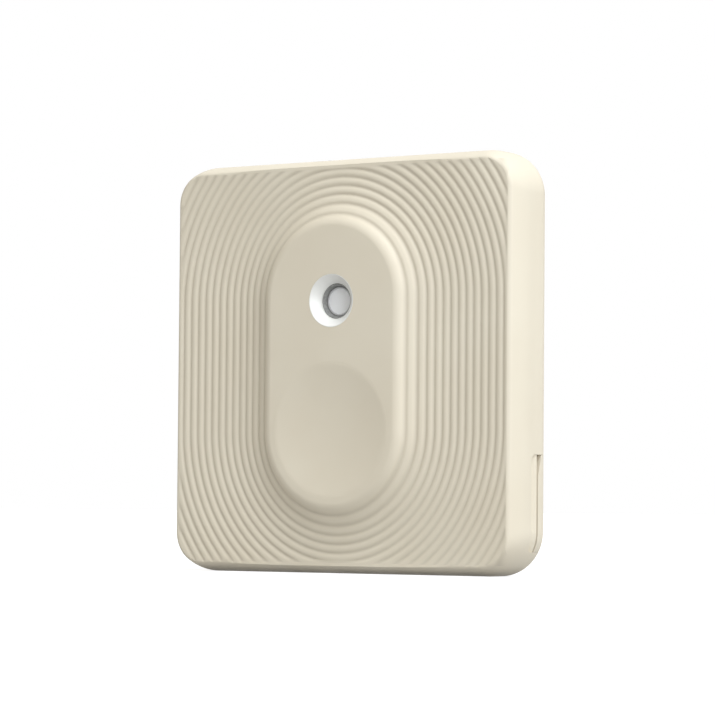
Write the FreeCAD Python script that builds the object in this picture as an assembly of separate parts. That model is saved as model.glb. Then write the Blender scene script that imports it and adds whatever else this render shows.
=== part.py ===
import FreeCAD, Part
import math
import os

from FreeCAD import Vector

# Temperature and humidity tag for a room: a grooved square housing with a raised pill, a vent
# over the sensor, a pad that presses a switch, and a coin cell behind a back cover.
# Lengths are in millimetres and angles in degrees.
# The origin is the middle of the back face. +Z is up and the face looks along -Y.
# A depth is counted from the back face towards the room, so it lies at y = -depth.

# Square outline
side = 36.0
corner_radius = 3.8
front_edge_radius = 1.2
back_edge_radius = 2.0
side_wall = 1.5

# Layers from the back face to the rim of the front
cover_thickness = 0.8
cell_clearance = 0.1
cell_height = 3.2
contact_space = 0.15
board_thickness = 0.6
board_clearance = 0.05
front_wall = 1.1

# Raised pill, its flank and the shallow trough round it
spine_half = 5.65
pill_rise = 1.1
pill_flat_radius = 6.15
shoulder_radius = 1.65
flank_angle = 34.0
flank_radius = 4.6
flank_foot_angle = 9.1
trough_radius = 16.2
field_edge = 16.8
pill_cavity_radius = 6.1
pill_wall = 0.9

# Grooves, which start where the shoulder of the pill ends
groove_pitch = 0.764
groove_depth = 0.14

# Vent and sensor
vent_radius = 2.3
vent_drop = 0.15
vent_throat_radius = 1.6
funnel_depth = 0.83
bezel_flange_radius = 3.6
bezel_flange = 0.43
bezel_tube_wall = 0.6
bezel_lip = 0.06
gasket_height = 0.4
gasket_inner_radius = 1.45
gasket_outer_radius = 2.6
gasket_recess = 0.07
cap_radius = 1.25
cap_wall = 0.15
cap_window_radius = 0.8
cap_height = 1.08
membrane_thickness = 0.12
membrane_recess = 0.03
sensor_side = 1.5
sensor_height = 0.5
sensor_gap = 0.06

# Press pad and switch
pad_radius = 5.45
pad_gap = 0.03
pad_stop_gap = 0.015
pad_dish_radius = 5.3
pad_dish_depth = 0.45
dish_rings = 3
pad_thickness = 1.1
pad_flange_width = 0.4
pad_flange = 0.28
pad_boss_radius = 1.0
press_travel = 0.2
press_slack = 0.03
switch_width = 3.0
switch_length = 2.6
switch_floor = 0.1
switch_sheet = 0.08
switch_well_radius = 1.05
switch_stem_radius = 0.65
switch_stem_gap = 0.05
plunger_flange = 0.1
stem_spare = 0.03
dome_thickness = 0.05
dome_spare = 0.075

# Cover
seam_gap = 0.05
skirt_gap = 0.1
skirt_wall = 0.9
skirt_height = 1.6
hook_width = 6.0
hook_reach = 0.35
hook_height = 0.6
hook_gap = 0.12
tab_low = -15.9
tab_high = -7.6
tab_height = 1.4
tab_wall = 0.8
tab_gap = 0.12
slit_width = 0.2
ramp_height = 0.9
ramp_deep = 0.32
ramp_shallow = 0.06
foam_width = 11.0
foam_thickness = 0.08

# Coin cell
cell_diameter = 20.0
cell_edge = 0.3
cell_cap_radius = 8.8
cell_cap_height = 0.2

# Cradle, pins and contacts
cradle_gap = 0.2
cradle_wall = 1.0
cradle_foot = 0.25
cradle_ear_width = 3.4
cradle_ear_thickness = 1.2
cradle_window = 6.0
pin_offset = 1.2
pin_radius = 0.7
pin_gap = 0.05
pin_head_radius = 1.15
pin_head_height = 0.4
contact_sheet = 0.1
contact_width = 4.6
contact_foot = 2.4
contact_leaf_gap = 0.06
contact_leaf_reach = 2.3
negative_width = 4.0
negative_length = 9.0
tongue_width = 1.5
tongue_root = 1.0
tongue_tip = 3.6
tongue_gap = 0.01

# Chips on the board
chip_side = 4.0
chip_height = 0.55
crystal_width = 2.0
crystal_length = 1.6
crystal_height = 0.5
crystal_corner = 0.27
crystal_x = -4.2
crystal_z = 1.2
antenna_width = 3.2
antenna_length = 1.6
antenna_height = 0.9
antenna_offset = 4.65
led_width = 0.8
led_length = 1.2
led_height = 0.45
led_offset = 3.15
capacitor_width = 1.0
capacitor_length = 0.5
capacitor_height = 0.5
capacitor_columns = 2
capacitor_rows = 3
capacitor_pitch = 1.5
capacitor_offset = 3.2

# Worked out from the sizes above
cell_back = cover_thickness + cell_clearance
cell_front = cell_back + cell_height
board_back = cell_front + contact_space
board_front = board_back + board_thickness
cavity_front = board_front + board_clearance
rim_depth = cavity_front + front_wall
plateau_depth = rim_depth + pill_rise
pill_cavity_front = plateau_depth - pill_wall
shell_back = cover_thickness + seam_gap
cavity_side = side - 2 * side_wall
cavity_corner = corner_radius - side_wall
pin_place = cell_diameter / 2 + cradle_gap + cradle_wall + pin_offset
vent_z = spine_half - vent_drop
pad_z = -spine_half
plunger_back = board_front + switch_floor + dome_thickness + dome_spare + press_travel
plunger_front = plunger_back + plunger_flange
switch_front = plunger_front + switch_stem_gap / 2
plunger_tip = switch_front + switch_sheet + press_travel + stem_spare

# Helpers for cutting and fusing: how far a cutter runs past the part, how far fused pieces reach
# into each other, how close two places have to be to count as one, and how far an edge may lean
# and still count as upright
beyond = 1.0
bite = 0.1
touching = 0.001
upright_angle = 5.0


def block(x_low, x_high, back, front, z_low, z_high):
    """A box between two depths."""
    corner = Vector(x_low, -front, z_low)
    return Part.makeBox(x_high - x_low, front - back, z_high - z_low, corner)


def chip(width, length, back, front, x=0.0, z=0.0):
    """A box centred on a place of the board."""
    return block(x - width / 2, x + width / 2, back, front, z - length / 2, z + length / 2)


def disc(radius, back, front, x=0.0, z=0.0):
    """A round solid between two depths."""
    return Part.makeCylinder(radius, front - back, Vector(x, -back, z), Vector(0, -1, 0))


def ring(outer, inner, back, front, x=0.0, z=0.0):
    """A round solid with a round hole."""
    return disc(outer, back, front, x, z).cut(disc(inner, back, front, x, z))


def cone(back_radius, front_radius, back, front, x=0.0, z=0.0):
    """A tapered round solid between two depths."""
    return Part.makeCone(back_radius, front_radius, front - back, Vector(x, -back, z), Vector(0, -1, 0))


def upright_edges(solid):
    """The edges that run from back to front."""
    least = math.cos(math.radians(upright_angle))
    return [edge for edge in solid.Edges if abs(edge.tangentAt(edge.FirstParameter).y) > least]


def rounded_square(width, radius, back, front):
    """A square slab with its four corners rounded."""
    slab = chip(width, width, back, front)
    return slab.makeFillet(radius, upright_edges(slab))


def pill(radius, back, front):
    """A pill-shaped slab along the spine of the face."""
    middle = block(-radius, radius, back, front, -spine_half, spine_half)
    top = disc(radius, back, front, 0, spine_half)
    bottom = disc(radius, back, front, 0, -spine_half)
    return middle.fuse([top, bottom]).removeSplitter()


def outer_block():
    """The square block with its soft front and back edges, before the face is shaped."""
    slab = rounded_square(side, corner_radius, 0, rim_depth)
    front_edges = [edge for edge in slab.Edges if edge.BoundBox.YMax < touching - rim_depth]
    slab = slab.makeFillet(front_edge_radius, front_edges)
    back_edges = [edge for edge in slab.Edges if edge.BoundBox.YMin > -touching]
    return slab.makeFillet(back_edge_radius, back_edges)


def shoulder_end():
    """Where the convex shoulder of the pill passes into its concave flank."""
    turn = math.radians(flank_angle)
    radius = pill_flat_radius + shoulder_radius * math.sin(turn)
    depth = plateau_depth - shoulder_radius * (1 - math.cos(turn))
    return radius, depth


def flank_end():
    """Where the flank passes into the shallow trough."""
    start, foot = math.radians(flank_angle), math.radians(flank_foot_angle)
    radius, depth = shoulder_end()
    radius = radius + flank_radius * (math.sin(start) - math.sin(foot))
    depth = depth - flank_radius * (math.cos(foot) - math.cos(start))
    return radius, depth


def trough_bottom():
    """The lowest line of the trough."""
    foot = math.radians(flank_foot_angle)
    radius, depth = flank_end()
    return radius + trough_radius * math.sin(foot), depth - trough_radius * (1 - math.cos(foot))


def crest_depth(radius):
    """Depth of the rib crests at a distance from the spine."""
    shoulder, shoulder_depth = shoulder_end()
    flank, flank_depth = flank_end()
    low, low_depth = trough_bottom()
    if radius >= field_edge:
        return rim_depth
    if radius >= low:
        share = (radius - low) / (field_edge - low)
        return low_depth + (rim_depth - low_depth) * share ** 2
    if radius >= flank:
        return low_depth + trough_radius - math.sqrt(trough_radius ** 2 - (low - radius) ** 2)
    start = math.radians(flank_angle)
    sine = math.sin(start) - (radius - shoulder) / flank_radius
    return shoulder_depth - flank_radius * (math.sqrt(1 - sine ** 2) - math.cos(start))


def corner_start():
    """Distance from a spine end to the place where the soft edge of a corner begins."""
    centre = side / 2 - corner_radius
    return math.hypot(centre, side / 2 - front_edge_radius - spine_half)


def face_profile():
    """The half section of the face: pill top, shoulder, then groove after groove to the corner."""
    turn = math.radians(flank_angle / 2)
    shoulder_middle = Vector(pill_flat_radius + shoulder_radius * math.sin(turn),
                             -(plateau_depth - shoulder_radius * (1 - math.cos(turn))), 0)
    crest, shoulder_depth = shoulder_end()
    centre = Vector(0, -plateau_depth, 0)
    flat_end = Vector(pill_flat_radius, -plateau_depth, 0)
    shoulder = Vector(crest, -shoulder_depth, 0)
    points = [shoulder]
    while crest + groove_pitch < corner_start():
        valley = crest + groove_pitch / 2
        crest = crest + groove_pitch
        points.append(Vector(valley, groove_depth - crest_depth(valley), 0))
        points.append(Vector(crest, -crest_depth(crest), 0))
    points += [Vector(side, -rim_depth, 0), Vector(side, 0, 0), Vector(0, 0, 0), centre]
    edges = [Part.makeLine(centre, flat_end), Part.Arc(flat_end, shoulder_middle, shoulder).toShape()]
    for start, end in zip(points, points[1:]):
        edges.append(Part.makeLine(start, end))
    return Part.Face(Part.Wire(edges))


def grooved_field():
    """The profile drawn straight between the spine ends and turned half round about each."""
    profile = face_profile()
    upper_start = profile.translated(Vector(0, 0, spine_half))
    lower_start = profile.translated(Vector(0, 0, -spine_half))
    upper = upper_start.revolve(Vector(0, 0, spine_half), Vector(0, -1, 0), 180)
    lower = lower_start.revolve(Vector(0, 0, -spine_half), Vector(0, 1, 0), 180)
    right = lower_start.extrude(Vector(0, 0, 2 * spine_half))
    left = right.mirror(Vector(0, 0, 0), Vector(1, 0, 0))
    return upper.fuse([lower, right, left]).removeSplitter()


def side_band(depth_in, back, front):
    """A band round the outside of the side wall, as deep as given."""
    outer = rounded_square(side, corner_radius, back, front)
    inner = rounded_square(side - 2 * depth_in, corner_radius - depth_in, back, front)
    return outer.cut(inner)


def tab_window(gap, back, front):
    """The stretch of the right-hand side that the pry tab takes, widened by a gap."""
    return block(0, side, back, front, tab_low - gap, tab_high + gap)


def hook_places():
    """Turns about Y at which the cover's four hooks stand."""
    return (0, 90, 180, 270)


def turned(shape, angle):
    """A copy turned about the middle axis of the part."""
    copy = shape.copy()
    copy.rotate(Vector(0, 0, 0), Vector(0, 1, 0), angle)
    return copy


def pin_places():
    """The two opposite corners where a pin holds the board and the cradle."""
    return [(-pin_place, pin_place), (pin_place, -pin_place)]


def front_shell():
    """Housing with the grooved face, side walls, pins for the board and the pry recess."""
    envelope = outer_block().fuse(pill(flank_end()[0] + groove_pitch, cavity_front, plateau_depth + beyond))
    shell = grooved_field().common(envelope)
    shell = shell.cut(chip(2 * side, 2 * side, -beyond, shell_back))
    shell = shell.cut(rounded_square(cavity_side, cavity_corner, 0, cavity_front))
    shell = shell.cut(pill(pill_cavity_radius, board_back, pill_cavity_front))
    shell = shell.cut(disc(vent_radius, board_back, plateau_depth + beyond, 0, vent_z))
    shell = shell.cut(disc(pad_radius + pad_gap, board_back, plateau_depth + beyond, 0, pad_z))
    lead_in = block(cavity_side / 2 - bite, cavity_side / 2 - skirt_gap + hook_reach + hook_gap,
                    0, cover_thickness + skirt_height + hook_gap,
                    -hook_width / 2 - hook_gap, hook_width / 2 + hook_gap)
    for angle in hook_places():
        shell = shell.cut(turned(lead_in, angle))
    shell = shell.cut(pry_recess())
    head_front = board_back - cradle_ear_thickness
    for x, z in pin_places():
        pin = disc(pin_radius, head_front, cavity_front, x, z)
        head = cone(pin_radius, pin_head_radius, head_front - pin_head_height, head_front, x, z)
        shell = shell.fuse([pin, head])
    return shell.removeSplitter()


def pry_recess():
    """Cutter for the seat of the tab, the slit past its edge and the ramp in front of the slit."""
    tab_front = cover_thickness + tab_height
    seat = side_band(tab_wall + tab_gap, 0, tab_front + slit_width)
    seat = seat.common(tab_window(tab_gap, 0, tab_front + slit_width))
    ramp_back = tab_front + slit_width
    ramp_front = ramp_back + ramp_height
    wide = rounded_square(side + 2 * beyond, corner_radius + beyond, ramp_back, ramp_front)
    back_wire = square_wire(side - 2 * ramp_shallow, corner_radius - ramp_shallow, ramp_back)
    front_wire = square_wire(side - 2 * ramp_deep, corner_radius - ramp_deep, ramp_front)
    core = Part.makeLoft([back_wire, front_wire], True, True)
    ramp = wide.cut(core).common(tab_window(tab_gap, ramp_back, ramp_front))
    return seat.fuse(ramp)


def square_wire(width, radius, depth):
    """The outline of a rounded square at one depth."""
    slab = rounded_square(width, radius, depth, depth + beyond)
    back_face = [face for face in slab.Faces if face.BoundBox.YMin > -depth - touching][0]
    return back_face.OuterWire


def back_cover():
    """Cover with the round back edge, a skirt inside the wall, four hooks and the pry tab."""
    cover = outer_block().common(chip(2 * side, 2 * side, -beyond, cover_thickness))
    skirt_side = cavity_side - 2 * skirt_gap
    skirt_corner = cavity_corner - skirt_gap
    skirt_front = cover_thickness + skirt_height
    skirt = rounded_square(skirt_side, skirt_corner, cover_thickness / 2, skirt_front)
    skirt = skirt.cut(rounded_square(skirt_side - 2 * skirt_wall, skirt_corner - skirt_wall, 0, skirt_front))
    cover = cover.fuse(skirt)
    hook = block(skirt_side / 2 - bite, skirt_side / 2 + hook_reach, skirt_front - hook_height, skirt_front,
                 -hook_width / 2, hook_width / 2)
    for angle in hook_places():
        cover = cover.fuse(turned(hook, angle))
    tab = side_band(tab_wall, cover_thickness / 2, cover_thickness + tab_height)
    tab = tab.common(tab_window(0, 0, rim_depth)).common(outer_block())
    return cover.fuse(tab).removeSplitter()


def cell_foam_pad():
    """Thin foam square that keeps the cell from rattling on the cover."""
    return chip(foam_width, foam_width, cover_thickness, cover_thickness + foam_thickness)


def press_pad():
    """Dished pad with a flange behind the face and a boss over the switch."""
    back = plateau_depth - pad_thickness
    pad = disc(pad_radius, back, plateau_depth, 0, pad_z)
    flange_front = pill_cavity_front - pad_stop_gap
    flange = disc(pad_radius + pad_flange_width, flange_front - pad_flange, flange_front, 0, pad_z)
    boss = disc(pad_boss_radius, plunger_tip + press_slack, back + bite, 0, pad_z)
    return pad.fuse([flange, boss]).removeSplitter().cut(pad_dish())


def pad_dish():
    """The hollow of the dish: rings that follow half a wave, level at the rim and at the floor."""
    above = -plateau_depth - pad_dish_depth
    points = [Vector(0, above, pad_z)]
    for step in range(dish_rings + 1):
        share = (step + 1) / (dish_rings + 1)
        hollow = pad_dish_depth * (1 + math.cos(math.pi * step / dish_rings)) / 2
        points.append(Vector(pad_dish_radius * share, hollow - plateau_depth, pad_z))
    points.insert(1, Vector(0, pad_dish_depth - plateau_depth, pad_z))
    points.append(Vector(pad_dish_radius, above, pad_z))
    section = Part.Face(Part.makePolygon(points + points[:1]))
    return section.revolve(Vector(0, 0, pad_z), Vector(0, 1, 0), 360)


def sensor_bezel():
    """White funnel that lines the vent, with a flange behind the face and a tube to the gasket."""
    flange_front = pill_cavity_front
    throat_front = plateau_depth - funnel_depth
    tube_radius = vent_throat_radius + bezel_tube_wall
    bezel = disc(vent_radius, flange_front - bezel_flange, plateau_depth, 0, vent_z)
    flange = disc(bezel_flange_radius, flange_front - bezel_flange, flange_front, 0, vent_z)
    tube = disc(tube_radius, board_front + gasket_height, flange_front, 0, vent_z)
    bezel = bezel.fuse([flange, tube])
    bezel = bezel.cut(disc(vent_throat_radius, board_front, plateau_depth, 0, vent_z))
    funnel = cone(vent_throat_radius, vent_radius - bezel_lip, throat_front, plateau_depth, 0, vent_z)
    return bezel.cut(funnel).removeSplitter()


def sensor_gasket():
    """Foam ring between the funnel and the board, with a collar that lines the throat."""
    collar_front = plateau_depth - funnel_depth - gasket_recess
    foot = disc(gasket_outer_radius, board_front, board_front + gasket_height, 0, vent_z)
    collar = disc(vent_throat_radius, board_front, collar_front, 0, vent_z)
    return foot.fuse(collar).cut(disc(gasket_inner_radius, board_front, collar_front, 0, vent_z))


def sensor_cap():
    """Round cap over the humidity sensor, open in the middle under its membrane."""
    front = board_front + cap_height
    seat = front - membrane_thickness - membrane_recess
    cap = disc(cap_radius, board_front, front, 0, vent_z)
    room = chip(sensor_side + sensor_gap, sensor_side + sensor_gap, board_front, seat - cap_wall, 0, vent_z)
    window = disc(cap_window_radius, board_front, front, 0, vent_z)
    recess = disc(cap_radius - cap_wall, seat, front, 0, vent_z)
    return cap.cut(room).cut(window).cut(recess)


def sensor_membrane():
    """Breathing membrane in the top of the cap."""
    seat = board_front + cap_height - membrane_thickness - membrane_recess
    return disc(cap_radius - cap_wall, seat, seat + membrane_thickness, 0, vent_z)


def humidity_sensor():
    """The measuring chip."""
    return chip(sensor_side, sensor_side, board_front, board_front + sensor_height, 0, vent_z)


def circuit_board():
    """Board that fills the housing, with a hole for each pin."""
    board = rounded_square(cavity_side - 2 * skirt_gap, cavity_corner, board_back, board_front)
    for x, z in pin_places():
        board = board.cut(disc(pin_radius + pin_gap, board_back, board_front, x, z))
    return board


def radio_chip():
    """Radio and processor."""
    return chip(chip_side, chip_side, board_front, board_front + chip_height)


def crystal():
    """Timing crystal in its metal can."""
    can = chip(crystal_width, crystal_length, board_front, board_front + crystal_height, crystal_x, crystal_z)
    return can.makeFillet(crystal_corner, upright_edges(can))


def chip_antenna():
    """Ceramic antenna at the top of the pill."""
    front = board_front + antenna_height
    return chip(antenna_width, antenna_length, board_front, front, 0, vent_z + antenna_offset)


def status_led():
    """Small lamp behind the flange of the white funnel."""
    return chip(led_width, led_length, board_front, board_front + led_height, led_offset, vent_z)


def capacitors():
    """Capacitors beside the radio, as one group."""
    front = board_front + capacitor_height
    pieces = []
    for column in range(capacitor_columns):
        for row in range(capacitor_rows):
            x = capacitor_offset + column * capacitor_pitch
            z = (row - (capacitor_rows - 1) / 2) * capacitor_pitch
            pieces.append(chip(capacitor_width, capacitor_length, board_front, front, x, z))
    return Part.makeCompound(pieces)


def switch_base():
    """Switch body with its round well."""
    base = chip(switch_width, switch_length, board_front, switch_front, 0, pad_z)
    return base.cut(disc(switch_well_radius, board_front + switch_floor, switch_front, 0, pad_z))


def switch_dome():
    """Snap disc on the floor of the well."""
    back = board_front + switch_floor
    return disc(switch_well_radius - switch_stem_gap, back, back + dome_thickness, 0, pad_z)


def switch_cover():
    """Metal sheet over the switch body, with a hole for the plunger."""
    front = switch_front + switch_sheet
    sheet = chip(switch_width, switch_length, switch_front, front, 0, pad_z)
    return sheet.cut(disc(switch_stem_radius + switch_stem_gap, switch_front, front, 0, pad_z))


def switch_plunger():
    """Plunger that the pad pushes, kept in by its flange."""
    flange = disc(switch_well_radius - switch_stem_gap, plunger_back, plunger_front, 0, pad_z)
    stem = disc(switch_stem_radius, plunger_front, plunger_tip, 0, pad_z)
    return flange.fuse(stem).removeSplitter()


def battery_cradle():
    """Square frame round the cell with an ear on each pin and a window for each contact leaf."""
    inner = cell_diameter / 2 + cradle_gap
    outer = inner + cradle_wall
    back = cell_back + cradle_foot
    ear_back = board_back - cradle_ear_thickness
    cradle = chip(2 * outer, 2 * outer, back, board_back)
    for x, z in pin_places():
        cradle = cradle.fuse(chip(cradle_ear_width, cradle_ear_width, ear_back, board_back, x, z))
    cradle = cradle.removeSplitter().cut(disc(inner, 0, board_back))
    for x, z in pin_places():
        cradle = cradle.cut(disc(pin_radius + pin_gap, ear_back, board_back, x, z))
    window_back = board_back - contact_sheet - contact_leaf_reach - cradle_gap
    window = block(-side / 2, side / 2, window_back, board_back, -cradle_window / 2, cradle_window / 2)
    return cradle.cut(window)


def positive_contact():
    """Two sprung leaves that press on the side of the cell, each with a foot on the board."""
    leaf_inner = cell_diameter / 2 + contact_leaf_gap
    leaf_outer = leaf_inner + contact_sheet
    foot_back = board_back - contact_sheet
    edge = contact_width / 2
    foot = block(leaf_inner, leaf_inner + contact_foot, foot_back, board_back, -edge, edge)
    leaf = block(leaf_inner, leaf_outer, foot_back - contact_leaf_reach, foot_back, -edge, edge)
    right = foot.fuse(leaf).removeSplitter()
    left = right.mirror(Vector(0, 0, 0), Vector(1, 0, 0))
    return Part.makeCompound([right, left])


def negative_contact():
    """Sheet on the board with two tongues that press on the cap of the cell."""
    sheet_back = board_back - contact_sheet
    sheet = chip(negative_length, negative_width, sheet_back, board_back)
    tip_back = cell_front + tongue_gap
    low = -tongue_width / 2
    corners = [Vector(tongue_root, -sheet_back, low), Vector(tongue_tip, -sheet_back, low),
               Vector(tongue_tip, -tip_back, low)]
    right = Part.Face(Part.makePolygon(corners + corners[:1])).extrude(Vector(0, 0, tongue_width))
    left = right.mirror(Vector(0, 0, 0), Vector(1, 0, 0))
    return sheet.fuse([right, left])


def cell_can():
    """Steel can of the coin cell, closed with its seal and filling inside."""
    front = cell_front - cell_cap_height
    can = disc(cell_diameter / 2, cell_back, front)
    back_edge = [edge for edge in can.Edges if edge.BoundBox.YMin > -cell_back - touching]
    return can.makeChamfer(cell_edge, back_edge)


def cell_cap():
    """Negative cap of the coin cell, which stands proud of the crimped can."""
    return disc(cell_cap_radius, cell_front - cell_cap_height, cell_front)


pieces = {
    "front_shell": front_shell,
    "back_cover": back_cover,
    "cell_foam_pad": cell_foam_pad,
    "press_pad": press_pad,
    "sensor_bezel": sensor_bezel,
    "sensor_gasket": sensor_gasket,
    "sensor_cap": sensor_cap,
    "sensor_membrane": sensor_membrane,
    "humidity_sensor": humidity_sensor,
    "circuit_board": circuit_board,
    "radio_chip": radio_chip,
    "crystal": crystal,
    "chip_antenna": chip_antenna,
    "status_led": status_led,
    "capacitors": capacitors,
    "switch_base": switch_base,
    "switch_dome": switch_dome,
    "switch_cover": switch_cover,
    "switch_plunger": switch_plunger,
    "battery_cradle": battery_cradle,
    "positive_contact": positive_contact,
    "negative_contact": negative_contact,
    "cell_can": cell_can,
    "cell_cap": cell_cap,
}

os.makedirs("parts", exist_ok=True)
for name, make in pieces.items():
    shape = make()
    shape.exportStep(f"parts/{name}.step")
    print(f"{name}: {len(shape.Solids)} solid(s), {shape.Volume:.2f} mm3, valid {shape.isValid()}")
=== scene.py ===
# %% [markdown]
# A small square room sensor, dressed for its portrait
# The engineering model of the sensor is already there, and nothing in this lesson moves it. What
# it lacks is the finish: the soft grooves of the face, the grain of the moulded plastic, the sheen
# of the steel cell. Each step takes one piece or one finish, says what it is on the real object,
# and makes it with the tools that a hand would use.

# %% Load the engineering model
import math

import bmesh
import bpy
from mathutils import Matrix, Vector


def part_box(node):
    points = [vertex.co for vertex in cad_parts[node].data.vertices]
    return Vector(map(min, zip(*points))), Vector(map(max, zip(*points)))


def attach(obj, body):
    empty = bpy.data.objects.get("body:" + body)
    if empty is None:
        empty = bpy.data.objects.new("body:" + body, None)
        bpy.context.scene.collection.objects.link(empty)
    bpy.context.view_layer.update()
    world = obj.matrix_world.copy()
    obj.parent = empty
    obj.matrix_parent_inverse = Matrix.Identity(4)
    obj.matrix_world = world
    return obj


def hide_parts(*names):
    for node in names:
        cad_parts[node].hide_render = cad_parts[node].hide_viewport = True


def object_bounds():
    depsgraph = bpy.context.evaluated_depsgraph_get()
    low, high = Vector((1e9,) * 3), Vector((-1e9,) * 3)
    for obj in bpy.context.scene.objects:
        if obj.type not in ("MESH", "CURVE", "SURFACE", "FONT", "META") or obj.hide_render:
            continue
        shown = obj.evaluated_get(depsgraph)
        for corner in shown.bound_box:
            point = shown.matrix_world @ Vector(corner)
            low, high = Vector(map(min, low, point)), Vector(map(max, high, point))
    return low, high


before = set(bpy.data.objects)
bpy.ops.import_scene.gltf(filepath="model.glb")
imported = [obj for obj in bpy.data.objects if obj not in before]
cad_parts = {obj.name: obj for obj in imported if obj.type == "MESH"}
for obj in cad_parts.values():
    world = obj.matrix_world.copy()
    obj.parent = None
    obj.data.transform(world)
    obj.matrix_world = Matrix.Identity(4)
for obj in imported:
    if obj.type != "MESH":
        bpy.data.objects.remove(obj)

cad_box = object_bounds()
mm = 0.001
print("size in mm:", [round((high - low) / mm, 2) for low, high in zip(*cad_box)])

# %% [markdown]
# The camera
# The picture shows the sensor from a little to its right and from just below its middle, through a
# long lens, so the square looks like a gentle trapezium. The camera is placed by angles round the
# object, and its axes are worked out from those angles, because a picture matches only when the
# point of view does. The tiny shift stands for a picture that was cropped off centre.

# %% Camera
picture_side = 715
camera_azimuth = 34.28
camera_elevation = -2.52
camera_roll = math.radians(0.463)
camera_distance = 279.9 * mm
camera_aim = Vector((0, -3 * mm, 0))
camera_sensor_width = 36
camera_focal_pixels = 3215.5
camera_shift_right = 0.34
camera_shift_up = 8.71
camera_near = 10 * mm
camera_far = 20


def direction(azimuth, elevation):
    """The direction from the object to a place at these angles round it, in degrees."""
    turn, climb = math.radians(azimuth), math.radians(elevation)
    return Vector((math.sin(turn) * math.cos(climb), -math.cos(turn) * math.cos(climb),
                   math.sin(climb)))


away = direction(camera_azimuth, camera_elevation)
level_right = direction(camera_azimuth + 90, 0)
level_up = away.cross(level_right)
picture_right = level_right * math.cos(camera_roll) + level_up * math.sin(camera_roll)
picture_up = level_up * math.cos(camera_roll) - level_right * math.sin(camera_roll)

bpy.ops.object.camera_add()
camera = bpy.context.active_object
camera.name = "portrait_camera"
camera.matrix_world = (Matrix.Translation(camera_aim + away * camera_distance)
                       @ Matrix((picture_right, picture_up, away)).transposed().to_4x4())
camera.data.sensor_width = camera_sensor_width
camera.data.lens = camera_sensor_width * camera_focal_pixels / picture_side
camera.data.shift_x = camera_shift_right / picture_side
camera.data.shift_y = camera_shift_up / picture_side
camera.data.clip_start = camera_near
camera.data.clip_end = camera_far
bpy.context.scene.camera = camera
bpy.context.scene.view_settings.view_transform = "Standard"
print("lens:", round(camera.data.lens, 1), "mm")

# %% [markdown]
# Light
# The light is soft and comes from the right and from above: the right and upper flanks of the
# raised pill are bright, the left and lower ones are dark, and no shadow has a hard edge. Two
# large, slightly cool lamps do that, one low and one high on the right. A faint third one behind
# lifts the rear edge of the side wall, and a slightly warm sky fills the rest.

# %% Lamps
lamp_distance = 0.6
lamp_width = 0.3
lamp_colour = (0.88, 0.93, 1.0)


def soft_lamp(name, azimuth, elevation, watts):
    """A square lamp that hangs at these angles round the object and looks at it."""
    towards = direction(azimuth, elevation)
    bpy.ops.object.light_add(type="AREA", location=towards * lamp_distance)
    lamp = bpy.context.active_object
    lamp.name = name
    lamp.rotation_euler = towards.to_track_quat("Z", "Y").to_euler()
    lamp.data.size = lamp_width
    lamp.data.energy = watts
    lamp.data.color = lamp_colour
    print(f"{name}: {watts} W, {lamp_width} m wide")


soft_lamp("window_lamp", azimuth=60, elevation=15, watts=1.48)
soft_lamp("overhead_lamp", azimuth=60, elevation=60, watts=2.6)
soft_lamp("rear_lamp", azimuth=125, elevation=15, watts=0.3)

# %% [markdown]
# Charts of nodes
# The world and every finish are small charts of nodes. Each helper adds a node, with its fixed
# values on its own sockets, and finds the chart through what feeds it.


# %% Helpers for nodes
def set_inputs(node, inputs):
    """Give inputs of a node their values, or link them where the value is an output."""
    for name, value in inputs.items():
        if isinstance(value, bpy.types.NodeSocket):
            node.id_data.links.new(value, node.inputs[name])
        else:
            node.inputs[name].default_value = value


def add_node(chart, kind, inputs=(), **settings):
    """A new node with its settings and its inputs."""
    node = chart.nodes.new(kind)
    for name, value in settings.items():
        setattr(node, name, value)
    set_inputs(node, dict(inputs))
    return node


def set_shader(finish, **inputs):
    """Set or link inputs of the shader, such as Base_Color."""
    set_inputs(finish.node_tree.nodes["Principled BSDF"],
               {name.replace("_", " "): value for name, value in inputs.items()})


def new_finish(name, roughness=0.5, metallic=0.0, gloss=0.5):
    """A material with its constant values set on the shader itself."""
    finish = bpy.data.materials.new(name)
    finish.use_nodes = True
    set_shader(finish, Roughness=roughness, Metallic=metallic, Specular_IOR_Level=gloss)
    return finish


def place_on(finish, stretch=(1, 1, 1)):
    """The place on the object in metres, stretched along the axes if asked."""
    chart = finish.node_tree
    place = add_node(chart, "ShaderNodeTexCoord").outputs["Object"]
    if stretch == (1, 1, 1):
        return place
    return add_node(chart, "ShaderNodeMapping", {"Vector": place, "Scale": stretch}).outputs[0]


def maths(operation, first, *others):
    """One step of arithmetic. The first number has to come out of a node."""
    return add_node(first.id_data, "ShaderNodeMath", enumerate((first, *others)),
                    operation=operation).outputs[0]


def spread(amount, low, high, start=0.0, end=1.0, kind="LINEAR"):
    """The amount, which runs from start to end, brought between low and high."""
    inputs = {"Value": amount, "From Min": start, "From Max": end, "To Min": low, "To Max": high}
    return add_node(amount.id_data, "ShaderNodeMapRange", inputs,
                    interpolation_type=kind).outputs[0]


# %% [markdown]
# Floor and background
# The sensor stands on a pale floor in front of white. The white shows only to rays from the camera
# or from a shiny surface, so it pours no extra light on the object from below. Beneath it the
# floor is a plain surface that keeps the soft shadow. The added white grows a little with
# distance, where the lamps no longer reach.

# %% World
white = (1, 1, 1, 1)
fill_strength = 0.51
fill_colour = (1.0, 0.965, 0.87, 1)


def seen_directly(chart):
    """One for rays from the camera, from gloss and through glass, and otherwise zero."""
    rays = add_node(chart, "ShaderNodeLightPath").outputs
    total = rays["Is Camera Ray"]
    for kind in ("Is Glossy Ray", "Is Transmission Ray"):
        total = maths("MAXIMUM", total, rays[kind])
    return total


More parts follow.
